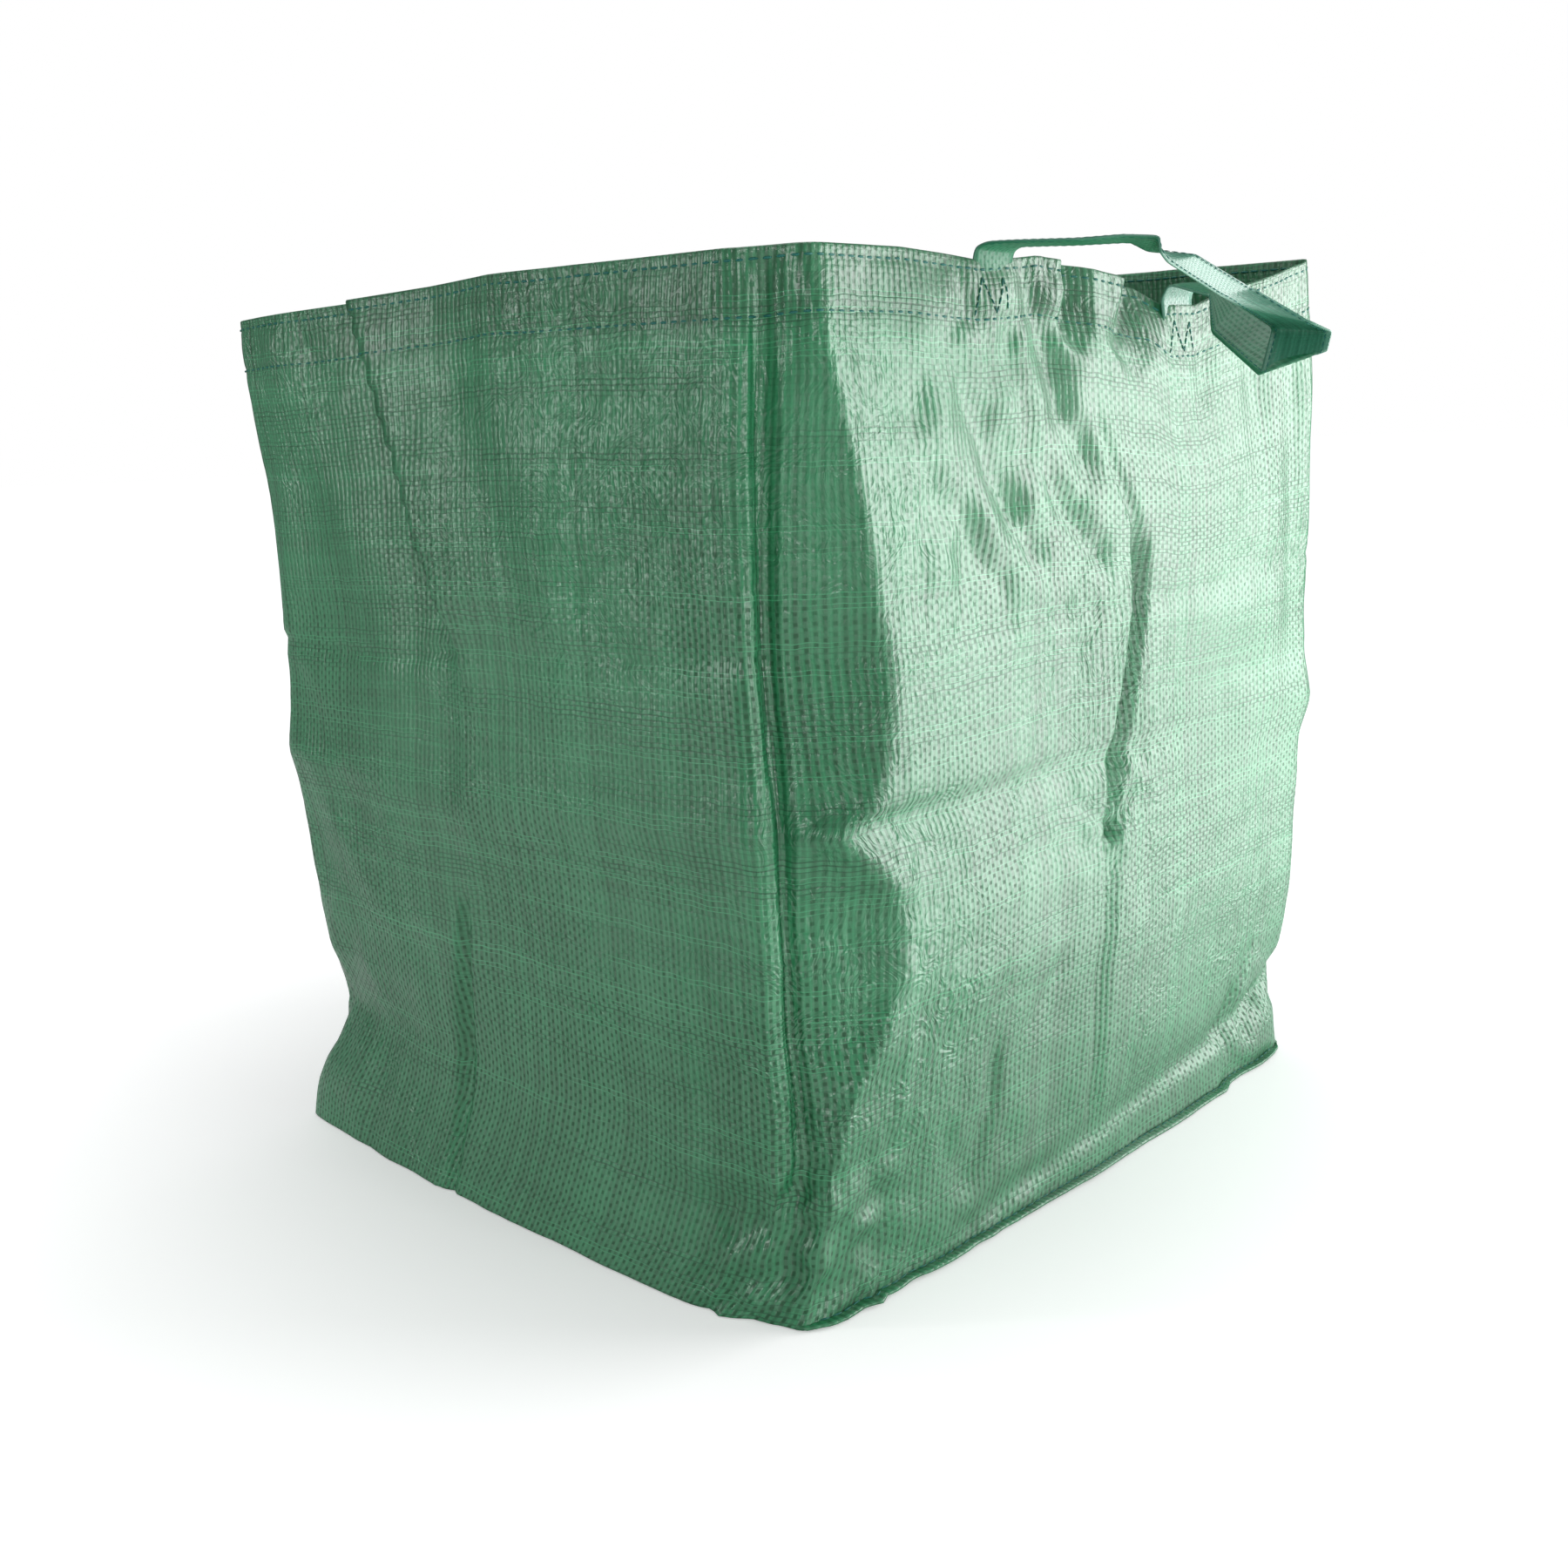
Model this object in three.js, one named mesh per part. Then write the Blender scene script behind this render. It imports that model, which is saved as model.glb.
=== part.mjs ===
// Open-topped storage bag of woven tape fabric with two sewn loop handles.
// Millimetres, +Z up. The origin is on the ground, under the middle of the base.
// The front wall faces -Y. The back handle is the front handle turned half way round Z.
import * as THREE from "three";

// Bag body
const bagWidth = 580;
const bagDepth = 524;
const bagHeight = 600;
const cornerRadius = 22;
const wallThickness = 2;
const clearance = 0.3;

// Turned-in rim hem, with a pocket between it and the wall for the handle ends
const hemDepth = 37;
const hemThickness = 1.2;
const upperRowDrop = 5.5;
const lowerRowDrop = 34;

// Seam allowance that stands out along the foot of the front and back walls
const lipReach = 7;
const lipThickness = 1.6;
const lipLift = 0.2;

// Sewing thread
const threadThickness = 0.6;
const threadWidth = 0.9;

// Handle straps
const strapWidth = 37;
const strapThickness = 1.6;
const handleSpan = 208;
const endDepth = 33;
const hingeRise = 4;
const endRise = 2.5;
const rootGap = 0.8;
const stepsPerRun = 4;

// W-shaped tack that holds each handle end
const tackWidth = 32;
const tackHeight = 20;
const tackDrop = 11.5;

const arcSegments = 3;
const quarterTurn = Math.PI / 2;
const wallFoot = wallThickness + clearance;
const pocketInset = wallThickness + clearance;
const hemInset = pocketInset + strapThickness + clearance;
const threadInset = -clearance - threadThickness;
const hingeY = -bagDepth / 2 + pocketInset + strapThickness / 2;
const hingeZ = bagHeight + hingeRise;

// Crease lines across the front strap, from its left root round to its right root.
// Each row gives the strap's inner and outer edge, as seen round the loop,
// as [along the rim, reach out from the rim, height above the hinge line].
const rootEdge = (side, edge) => [side * handleSpan / 2 + edge * strapWidth / 2, 0, rootGap];
const strapCreases = [
  [rootEdge(-1, -1), rootEdge(-1, 1)],
  [[-124, 10, 9], [-87, 8, 9]],
  [[-110, 63, 3], [-77, 43, 5]],
  [[-92, 84, 0], [-55, 66, 2]],
  [[-80, 104, -14], [-33, 88, -8]],
  [[48, 99, -44], [52, 136, -49]],
  [[29, 102, -73], [44, 138, -62]],
  [[64, 50, -44], [100, 34, -24]],
  [[84, 9, 8], [121, 8, 9]],
  [rootEdge(1, -1), rootEdge(1, 1)],
];

function fabricMaterial(color, roughness) {
  return new THREE.MeshStandardMaterial({ color, roughness, metalness: 0 });
}

const makeWallMaterial = () => fabricMaterial(0x5f9d78, 0.45);
const makeHemMaterial = () => fabricMaterial(0x3f8f5f, 0.5);
const makeStrapMaterial = () => fabricMaterial(0x4f9077, 0.5);
const makeThreadMaterial = () => fabricMaterial(0x1f6f63, 0.8);

function addMesh(parent, name, geometry, material) {
  const mesh = new THREE.Mesh(geometry, material);
  mesh.name = name;
  parent.add(mesh);
  return mesh;
}

function extrude(shape, depth) {
  return new THREE.ExtrudeGeometry(shape, { depth, bevelEnabled: false, curveSegments: arcSegments });
}

// Plan of one wall: its straight run and half of the round corner at each end.
// The wall faces -Y. inset is how far its outer face lies inside the bag's outline.
function wallPlan(runLength, span, inset, thickness) {
  const centreX = runLength / 2 - cornerRadius;
  const centreY = -span / 2 + cornerRadius;
  const outer = cornerRadius - inset;
  const inner = outer - thickness;
  const cut = clearance / 2 / inner;
  const leftEnd = 2.5 * quarterTurn + cut;
  const middle = 3 * quarterTurn;
  const rightEnd = 3.5 * quarterTurn - cut;
  const shape = new THREE.Shape();
  shape.absarc(-centreX, centreY, outer, leftEnd, middle, false);
  shape.absarc(centreX, centreY, outer, middle, rightEnd, false);
  shape.absarc(centreX, centreY, inner, rightEnd, middle, true);
  shape.absarc(-centreX, centreY, inner, middle, leftEnd, true);
  return shape;
}

// Rounded rectangle that follows the bag's outline, inset from it.
function outlinePath(path, inset) {
  const centreX = bagWidth / 2 - cornerRadius;
  const centreY = bagDepth / 2 - cornerRadius;
  const corners = [[centreX, centreY], [-centreX, centreY], [-centreX, -centreY], [centreX, -centreY]];
  corners.forEach(([x, y], turn) => {
    const start = turn * quarterTurn;
    const halfWay = start + quarterTurn / 2;
    path.absarc(x, y, cornerRadius - inset, start, halfWay, false);
    path.absarc(x, y, cornerRadius - inset, halfWay, start + quarterTurn, false);
  });
  return path;
}

function wallRing(parent, suffix, inset, thickness, foot, height, makeMaterial) {
  const sides = [
    ["front", bagWidth, bagDepth],
    ["right", bagDepth, bagWidth],
    ["back", bagWidth, bagDepth],
    ["left", bagDepth, bagWidth],
  ];
  sides.forEach(([side, runLength, span], turn) => {
    const plan = wallPlan(runLength, span, inset, thickness);
    const mesh = addMesh(parent, `${side}_${suffix}`, extrude(plan, height), makeMaterial());
    mesh.position.z = foot;
    mesh.rotation.z = turn * quarterTurn;
  });
}

function basePanel(parent) {
  const plan = outlinePath(new THREE.Shape(), 0);
  addMesh(parent, "base_panel", extrude(plan, wallThickness), makeWallMaterial());
}

function stitchRing(parent, name, drop) {
  const plan = outlinePath(new THREE.Shape(), threadInset);
  plan.holes.push(outlinePath(new THREE.Path(), -clearance));
  const mesh = addMesh(parent, name, extrude(plan, threadWidth), makeThreadMaterial());
  mesh.position.z = bagHeight - drop - threadWidth / 2;
}

// A straight strip with round ends, lying along X.
function stripPlan(length, width) {
  const centreX = (length - width) / 2;
  const shape = new THREE.Shape();
  shape.absarc(centreX, 0, width / 2, -quarterTurn, quarterTurn, false);
  shape.absarc(-centreX, 0, width / 2, quarterTurn, 3 * quarterTurn, false);
  return shape;
}

function baseSeam(parent, side) {
  const length = bagWidth - 2 * cornerRadius;
  const lip = addMesh(
    parent, `${side}_base_seam_lip`, extrude(stripPlan(length, lipReach), lipThickness), makeWallMaterial());
  const stitch = addMesh(
    parent,
    `${side}_base_seam_stitch`,
    extrude(stripPlan(length - lipReach, threadWidth), threadThickness),
    makeThreadMaterial());
  lip.position.set(0, -bagDepth / 2 - clearance - lipReach / 2, lipLift);
  stitch.position.set(0, lip.position.y, lipLift + lipThickness + clearance);
}

// The flat end of a handle strap, held in the pocket between the wall and the hem.
function handleEnd(parent, name, x) {
  const plan = new THREE.Shape();
  plan.moveTo(-strapWidth / 2, 0);
  plan.lineTo(strapWidth / 2, 0);
  plan.lineTo(strapWidth / 2, strapThickness);
  plan.lineTo(-strapWidth / 2, strapThickness);
  const end = addMesh(parent, name, extrude(plan, endDepth + endRise), makeStrapMaterial());
  end.position.set(x, -bagDepth / 2 + pocketInset, bagHeight - endDepth);
}

// A zigzag of thread on the outside of the wall: up, down, up, down.
function handleTack(parent, name, x) {
  const strokes = 4;
  const step = tackWidth / strokes;
  const upper = [];
  const lower = [];
  for (let i = 0; i <= strokes; i += 1) {
    const along = i * step - tackWidth / 2;
    const height = i % 2 === 0 ? 0 : tackHeight;
    upper.push([along, height + threadWidth]);
    lower.unshift([along, height - threadWidth]);
  }
  const plan = new THREE.Shape([...upper, ...lower].map(([u, v]) => new THREE.Vector2(u, v)));
  const tack = addMesh(parent, name, extrude(plan, threadThickness), makeThreadMaterial());
  tack.rotation.x = quarterTurn;
  tack.position.set(x, -bagDepth / 2 - clearance, bagHeight - tackDrop - tackHeight);
}

// Cross lines of the strap, with straight steps between the creases.
function strapLines() {
  const lines = [];
  strapCreases.forEach((crease, i) => {
    const [inner, outer] = crease.map(([x, reach, up]) => new THREE.Vector3(x, -reach, up));
    if (i > 0) {
      const last = lines[lines.length - 1];
      for (let k = 1; k < stepsPerRun; k += 1) {
        const share = k / stepsPerRun;
        lines.push([last[0].clone().lerp(inner, share), last[1].clone().lerp(outer, share)]);
      }
    }
    lines.push([inner, outer]);
  });
  return lines;
}

// The normal of the strap's face at a cross line, from its neighbours on both sides.
function lineNormal(lines, i) {
  const [innerA, outerA] = lines[Math.max(i - 1, 0)];
  const [innerB, outerB] = lines[Math.min(i + 1, lines.length - 1)];
  const along = innerB.clone().sub(innerA).add(outerB).sub(outerA);
  const across = lines[i][1].clone().sub(lines[i][0]);
  return across.cross(along).normalize();
}

// A box with one slice for each cross line, bent so that its slices follow the strap.
function strapGeometry() {
  const lines = strapLines();
  const slices = lines.length - 1;
  const box = new THREE.BoxGeometry(1, strapThickness, 1, 1, 1, slices);
  const corners = box.attributes.position;
  const corner = new THREE.Vector3();
  for (let i = 0; i < corners.count; i += 1) {
    corner.fromBufferAttribute(corners, i);
    const slice = Math.round((corner.z + 0.5) * slices);
    const [inner, outer] = lines[slice];
    const bent = inner.clone().lerp(outer, corner.x + 0.5);
    bent.addScaledVector(lineNormal(lines, slice), -corner.y);
    corners.setXYZ(i, bent.x, bent.y, bent.z);
  }
  box.computeVertexNormals();
  return box;
}

function handleLoop(parent, side) {
  const strap = addMesh(parent, `${side}_handle_strap`, strapGeometry(), makeStrapMaterial());
  strap.position.set(0, hingeY, hingeZ);
}

// One side's handle with its sewn ends, and the base seam below it.
function handleSide(parent, side, turn) {
  const group = new THREE.Group();
  group.rotation.z = turn;
  parent.add(group);
  handleLoop(group, side);
  for (const [end, x] of [["left", -handleSpan / 2], ["right", handleSpan / 2]]) {
    handleEnd(group, `${side}_${end}_handle_end`, x);
    handleTack(group, `${side}_${end}_handle_tack`, x);
  }
  baseSeam(group, side);
}

function storageBag() {
  const bag = new THREE.Group();
  basePanel(bag);
  wallRing(bag, "wall", 0, wallThickness, wallFoot, bagHeight - wallFoot, makeWallMaterial);
  wallRing(bag, "rim_hem", hemInset, hemThickness, bagHeight - hemDepth, hemDepth, makeHemMaterial);
  stitchRing(bag, "upper_hem_stitch", upperRowDrop);
  stitchRing(bag, "lower_hem_stitch", lowerRowDrop);
  handleSide(bag, "front", 0);
  handleSide(bag, "back", Math.PI);
  return bag;
}

export default storageBag();
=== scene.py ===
import math
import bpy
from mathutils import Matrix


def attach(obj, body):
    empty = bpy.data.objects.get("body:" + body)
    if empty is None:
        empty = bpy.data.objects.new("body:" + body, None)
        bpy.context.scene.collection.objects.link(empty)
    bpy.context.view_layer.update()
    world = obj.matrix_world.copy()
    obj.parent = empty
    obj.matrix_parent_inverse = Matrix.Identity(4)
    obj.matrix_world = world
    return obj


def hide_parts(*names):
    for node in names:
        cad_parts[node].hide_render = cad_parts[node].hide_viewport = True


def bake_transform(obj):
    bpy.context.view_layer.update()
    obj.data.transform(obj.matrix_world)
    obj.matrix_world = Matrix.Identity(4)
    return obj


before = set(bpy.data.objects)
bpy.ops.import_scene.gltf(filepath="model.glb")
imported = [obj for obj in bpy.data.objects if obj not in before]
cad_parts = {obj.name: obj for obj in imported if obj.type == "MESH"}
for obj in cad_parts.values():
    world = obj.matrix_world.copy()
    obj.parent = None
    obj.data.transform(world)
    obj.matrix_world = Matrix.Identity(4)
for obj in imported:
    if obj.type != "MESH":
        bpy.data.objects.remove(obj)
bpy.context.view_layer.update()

from types import SimpleNamespace

import bpy
import numpy as np
from mathutils import Matrix, Vector

# ---- camera

CAMERA_PLACE = (-0.915, -0.849, 0.494)
CAMERA_YAW, CAMERA_PITCH, CAMERA_ROLL = 46.5, 11.6, -2.2
CAMERA_LENS, CAMERA_SENSOR = 38.0, 36


def make_camera():
    yaw, pitch, roll = map(math.radians, (CAMERA_YAW, CAMERA_PITCH, CAMERA_ROLL))
    ahead = Vector((math.sin(yaw) * math.cos(pitch), math.cos(yaw) * math.cos(pitch), -math.sin(pitch)))
    level = Vector((math.cos(yaw), -math.sin(yaw), 0))
    up = level.cross(ahead)
    right = math.cos(roll) * level + math.sin(roll) * up
    up = math.cos(roll) * up - math.sin(roll) * level
    data = bpy.data.cameras.new("camera")
    data.lens = CAMERA_LENS
    data.sensor_width = CAMERA_SENSOR
    camera = bpy.data.objects.new("camera", data)
    turn = Matrix((right, up, -ahead)).transposed().to_4x4()
    camera.matrix_world = Matrix.Translation(CAMERA_PLACE) @ turn
    bpy.context.collection.objects.link(camera)
    bpy.context.scene.camera = camera


# ---- small tools

def swell(value, middle, half, power=4):
    """1 at the middle, falling to nothing a little beyond half to each side."""
    return np.exp(-(((value - middle) / half) ** power))


def ease(share):
    return share * share * (3 - 2 * share)


def arch(share):
    return 4 * share * (1 - share)


def lengths_along(line):
    return np.concatenate([[0], np.cumsum(np.linalg.norm(np.diff(line, axis=0), axis=1))])


def points_at(at, run, line):
    """The points of a line at the lengths given, where run holds the length at each of its own points."""
    return np.stack([np.interp(at, run, line[:, k]) for k in range(line.shape[1])], -1)


def unit(vectors):
    return vectors / np.linalg.norm(vectors, axis=1)[:, None]


MM = 1000  # millimetres in a metre


def metres(table):
    return np.array(table) / MM


# ---- the bag's shape

HEIGHT = 0.600  # the wall along the cloth, from the floor to the rim
HEM = 0.037  # depth of the hem that is turned in
UPPER_ROW, LOWER_ROW = 0.0055, 0.034  # the hem's rows of stitches, below the rim
SHEET = 0.0007  # thickness of the cloth
CLOTH_GIVE = 0.040  # how far to each side a fold draws the cloth it takes up
GIVE_SAMPLES = 9
FLOOR_GAP = 0.0009  # the lowest the outer face comes, so that its thickness clears the floor
HEM_REACH = 0.060  # more than the hem is long along the cloth, over the rim and down inside
HEM_GAP = 0.0024  # from the wall to the turned-in hem behind it
LENGTHS = {"left": 0.514, "front": 0.602, "right": 0.526, "back": 0.574}
PERIMETER = sum(LENGTHS.values())
STARTS = dict(zip(LENGTHS, np.round(np.cumsum([0.0, *LENGTHS.values()]), 6)))
TAPES_AROUND = 462
TAPE = PERIMETER / TAPES_AROUND  # width of an upright tape of the weave
WEFT = 0.0031  # and of a crossing one

# Each corner's place in plan: (height, x, y), from the floor up, in mm.
CORNERS = {
    "far_left": [(0, -297, 259), (20, -292, 256), (60, -284, 240), (95, -280, 229), (170, -284, 245),
        (285, -288, 257), (390, -288, 249), (477, -288, 253), (557, -288, 267), (600, -288, 267)],
    "near_edge": [(0, -309, -219), (30, -303, -236), (73, -298, -244), (145, -295, -240),
        (220, -294.5, -238), (300, -294.5, -234), (382, -294.5, -231), (499, -292, -232), (600, -290, -237)],
    "near_valley": [(0, -306, -228), (30, -292, -241), (73, -282, -249), (145, -279, -246),
        (220, -278, -244), (300, -278, -240), (382, -278, -237), (499, -278, -239), (600, -279, -243)],
    "near_ridge": [(0, -292, -256), (40, -287, -262), (79, -281, -266), (128, -262, -272), (179, -232, -281),
        (221, -218, -284), (252, -232, -282), (272, -252, -276), (286, -272, -268), (298, -240, -277),
        (325, -235, -283), (377, -231, -285), (406, -240, -284), (470, -251, -284), (550, -270, -278),
        (600, -268, -266)],
    "front_right": [(0, 289, -257), (30, 284, -254), (45, 282, -252), (75, 286, -257), (145, 289, -263),
        (286, 290, -270), (420, 290, -272), (600, 290, -268)],
    "far_right": [(0, 292, 256), (50, 286, 250), (95, 283, 247), (200, 287, 256), (400, 286, 262),
        (600, 284, 266)],
}
# The corners that each side runs through. The near corner was pressed flat, and has three.
CHAINS = {
    "left": ("far_left", "near_edge"),
    "front": ("near_edge", "near_valley", "near_ridge", "front_right"),
    "right": ("front_right", "far_right"),
    "back": ("far_right", "far_left"),
}
# How far each side bulges at its middle: (height, bulge), in mm.
BULGE = {
    "left": [(0, 10), (50, 9), (200, 4), (450, 4), (600, 0)],
    "front": [(0, 14), (50, 10), (200, 1), (400, -4), (600, -6)],
    "right": [(0, 10), (50, 6), (250, 10), (450, 6), (600, 0)],
    "back": [(0, 10), (50, 6), (250, 8), (450, 2), (600, -8)],
}
# How far the rim is above or below its even height: (distance round the bag, rise), in mm.
RIM_LIFT = [(0, -7), (160, -5), (300, -2), (514, -8), (630, -5), (702, -8), (740, -5), (767, -2),
            (815, -6), (840, -9), (892, -15), (914, -26), (950, -25), (980, -17), (1033, -6), (1116, 13),
            (1379, 19), (1642, 14), (1760, 6), (1900, -10), (2040, 2), (2216, -7)]
LIFT_FROM = 0.30  # the height above which the rim's lift is felt
ROUNDING = 0.016  # half width of the bend at an ordinary corner
NEAR_ROUNDING = 0.0035  # and at the crease and ridge of the corner that was pressed flat
NEAR_MIDDLE, NEAR_HALF = 0.550, 0.070  # where that corner is round the bag, and how far it reaches
PRESSED_TOP = 0.54  # above this height it opens out into an ordinary corner
BEND_SAMPLES = 9


def wrap(around):
    return np.mod(around, PERIMETER)


def side_row(side, share, height):
    """Plan places along one side at one height, for shares of the side's length."""
    corners = [metres(CORNERS[name]) for name in CHAINS[side]]
    chain = np.array([[np.interp(height, keys[:, 0], keys[:, k]) for k in (1, 2)] for keys in corners])
    run = lengths_along(chain)
    point = points_at(share * run[-1], run, chain)
    straight = chain[-1] - chain[0]
    outward = np.array([straight[1], -straight[0]]) / np.linalg.norm(straight)
    bulge = np.interp(height, *metres(BULGE[side]).T)
    return point + outward * bulge * arch(share)[:, None]


def plan_row(around, height):
    """The plan place of the wall at one height, for every distance round the bag."""
    place = np.zeros((len(around), 2))
    s = wrap(around)
    for side, length in LENGTHS.items():
        start = STARTS[side]
        here = (s >= start) & (s < start + length)
        place[here] = side_row(side, (s[here] - start) / length, height)
    return place


def smooth_row(around, height):
    """plan_row with its corners rounded, less where the near corner was pressed into a crease."""
    pressed = np.interp(height, [PRESSED_TOP, HEIGHT], [NEAR_ROUNDING, ROUNDING])
    radius = ROUNDING + (pressed - ROUNDING) * swell(around, NEAR_MIDDLE, NEAR_HALF)
    shifts = np.linspace(-1, 1, BEND_SAMPLES)
    weights = 1 - 0.8 * shifts**2
    total = sum(w * plan_row(around + radius * d, height) for w, d in zip(weights, shifts))
    return total / weights.sum()


# ---- folds and creases

class Fold:
    """A crease or ridge along a line on one side of the bag. All its lengths are given in mm.

    points are (across, height, depth): across is x on the front and back and y on the left and right,
    and a negative depth goes into the bag. widths are how far it reaches on its low side, which is
    towards less across or less height, and on its high side. Its section is a tent with flat slopes,
    or with soft given, a bell: 1 is cusped and 2 is round.
    """

    def __init__(self, points, widths, soft=None):
        self.points = metres(points)
        self.low, self.high = metres(widths)
        self.soft = soft
        over, up = (self.points[-1] - self.points[0])[:2]
        self.turn = np.sign(up) if abs(up) > abs(over) else -np.sign(over)

    def depth(self, across, height):
        best = np.full(across.shape, np.inf)
        side = np.zeros(across.shape)
        size = np.zeros(across.shape)
        for a, b in zip(self.points[:-1], self.points[1:]):
            run = b[:2] - a[:2]
            t = np.clip(((across - a[0]) * run[0] + (height - a[1]) * run[1]) / (run @ run), 0, 1)
            gap_u, gap_v = across - a[0] - t * run[0], height - a[1] - t * run[1]
            gap = np.hypot(gap_u, gap_v)
            nearer = gap < best
            best = np.where(nearer, gap, best)
            side = np.where(nearer, self.turn * np.sign(gap_u * run[1] - gap_v * run[0]), side)
            size = np.where(nearer, a[2] + t * (b[2] - a[2]), size)
        reach = best / np.where(side < 0, self.low, self.high)
        if self.soft is None:
            return size * np.clip(1 - reach, 0, 1)
        return size * np.exp(-(reach ** self.soft))


NOISE_CELLS = 256  # the random tables repeat after this many cells


def table_picker(seed, iu, iv):
    """A call that gives the random value of the cell that many steps on from cell iu, iv."""
    table = np.random.default_rng(seed).uniform(-1, 1, (NOISE_CELLS, NOISE_CELLS))
    return lambda a, b: table[(iu + a) % NOISE_CELLS, (iv + b) % NOISE_CELLS]


def smooth_noise(u, v, cell, seed):
    gu, gv = u / cell, v / cell
    iu, iv = np.floor(gu).astype(int), np.floor(gv).astype(int)
    fu, fv = ease(gu - iu), ease(gv - iv)
    pick = table_picker(seed, iu, iv)
    low = pick(0, 0) * (1 - fu) + pick(1, 0) * fu
    high = pick(0, 1) * (1 - fu) + pick(1, 1) * fu
    return low * (1 - fv) + high * fv


def wander(s, amplitude, cell, seed):
    return amplitude * smooth_noise(s, s * 0, cell, seed)


SKEW, UNSKEW = 0.366, 0.2113  # from squares to even triangles and back
FACET_BEND, FACET_BEND_CELL = 0.35, 1.7  # how far and how widely the facets are bent, in cells


def facet_noise(u, v, cell, seed):
    """Flat facets that meet in straight creases, as crumpled stiff cloth has."""
    bends = [FACET_BEND * cell * smooth_noise(u, v, cell * FACET_BEND_CELL, seed + k) for k in (1, 2)]
    gu, gv = (u + bends[0]) / cell, (v + bends[1]) / cell
    skew = (gu + gv) * SKEW
    iu, iv = np.floor(gu + skew).astype(int), np.floor(gv + skew).astype(int)
    back = (iu + iv) * UNSKEW
    fu, fv = gu - (iu - back), gv - (iv - back)
    fu, fv = fu + (fu + fv) * SKEW, fv + (fu + fv) * SKEW
    pick = table_picker(seed, iu, iv)
    first = np.where(fu >= fv, pick(1, 0), pick(0, 1))
    big, small = np.maximum(fu, fv), np.minimum(fu, fv)
    return pick(0, 0) * (1 - big) + first * (big - small) + pick(1, 1) * small


# The lines of folds on each side, as Fold takes them.
FRONT_FOLDS = [
    # the near corner, pressed into a sharp crease
    ([(-280, 590, -3), (-280, 520, -6), (-279.5, 380, -8), (-279, 220, -8), (-280, 120, -5),
      (-285, 55, 0)], (4.5, 6)),
    # the deep fold down the middle of the front, and the line that runs into its top
    ([(33, 442, 0), (31, 425, -8), (29, 385, -13), (17, 330, -11), (4, 270, -8), (-6, 235, -5),
      (-10, 180, -5), (-17, 50, -3), (-18, 30, 0)], (6, 19)),
    ([(24, 420, 0), (20, 385, 4), (8, 330, 4), (-10, 250, 2), (-22, 60, 1)], (45, 10)),
    ([(-18, 530, 0), (-10, 505, -2), (10, 470, -3), (29, 440, -4), (33, 425, 0)], (4, 10)),
    # soft valley that comes down from the rim beside the handle
    ([(-76, 620, -5), (-63, 545, -6), (-48, 510, -6), (-22, 482, -4), (-8, 462, 0)], (10, 14), 1.5),
    # the two pleats in the hem between the handle's ends
    ([(-37, 548, 0), (-34, 556, -8), (-29, 580, -12), (-22, 620, -15)], (10, 28)),
    ([(14, 548, 0), (21, 556, -7), (42, 575, -14), (66, 610, -19)], (18, 32)),
    # crumples left of the middle fold
    ([(-150, 530, 0), (-128, 480, -5), (-85, 425, -6), (-60, 400, 0)], (10, 20)),
    ([(-75, 480, 0), (-50, 450, -5), (-15, 420, -5), (0, 405, 0)], (8, 18)),
    ([(-165, 460, 0), (-140, 430, -4), (-110, 395, 0)], (8, 16)),
    ([(-110, 575, 0), (-100, 530, -4), (-80, 480, 0)], (8, 16)),
    # creases from being folded flat in a packet
    ([(-300, 384, -1.4), (0, 386, -1.8), (300, 396, -1)], (5, 7)),
    ([(-300, 282, 3.5), (-120, 286, 4.5), (0, 279, 3.5), (300, 288, 4)], (26, 40)),
    ([(-160, 248, 0), (-100, 243, -1.8), (-16, 235, -2.5)], (10, 6)),
    # the cross of short creases where the folds meet
    ([(-52, 276, 0), (-35, 262, -4), (0, 236, -6)], (5, 8)),
    ([(0, 236, -5), (18, 248, -4), (50, 284, 0)], (6, 6)),
    ([(3, 230, 3), (22, 238, 0)], (6, 6)),
    # lower left of the front
    ([(-30, 190, 0), (-60, 158, -3), (-110, 108, 0)], (6, 12)),
    ([(-129, 134, 0), (-129, 110, -6), (-130, 85, -4), (-150, 50, 0)], (4, 12)),
    ([(-222, 200, 0), (-214, 150, 2.5), (-222, 60, 0)], (6, 12)),
    # the foot: the wall turns out to the seam below this crease
    ([(-240, 10, 0), (-126, 16, -3), (-22, 27, -4), (108, 36, -4), (166, 38, -4), (257, 57, -7),
      (300, 80, -5)], (10, 16)),
    ([(235, 125, 0), (205, 78, -4), (170, 40, -4)], (8, 6)),
    ([(186, 36, -4), (174, 6, 0)], (5, 8)),
    ([(240, 50, -3), (232, 10, 0)], (5, 8)),
    # waves beside the right corner
    ([(190, 610, -4), (200, 520, -4), (215, 420, 0)], (20, 24), 1.7),
    ([(258, 600, -3), (254, 450, -4.5), (262, 300, 0)], (16, 16), 1.7),
    ([(130, 560, -3), (120, 500, 0)], (10, 14), 1.4),
]
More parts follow.
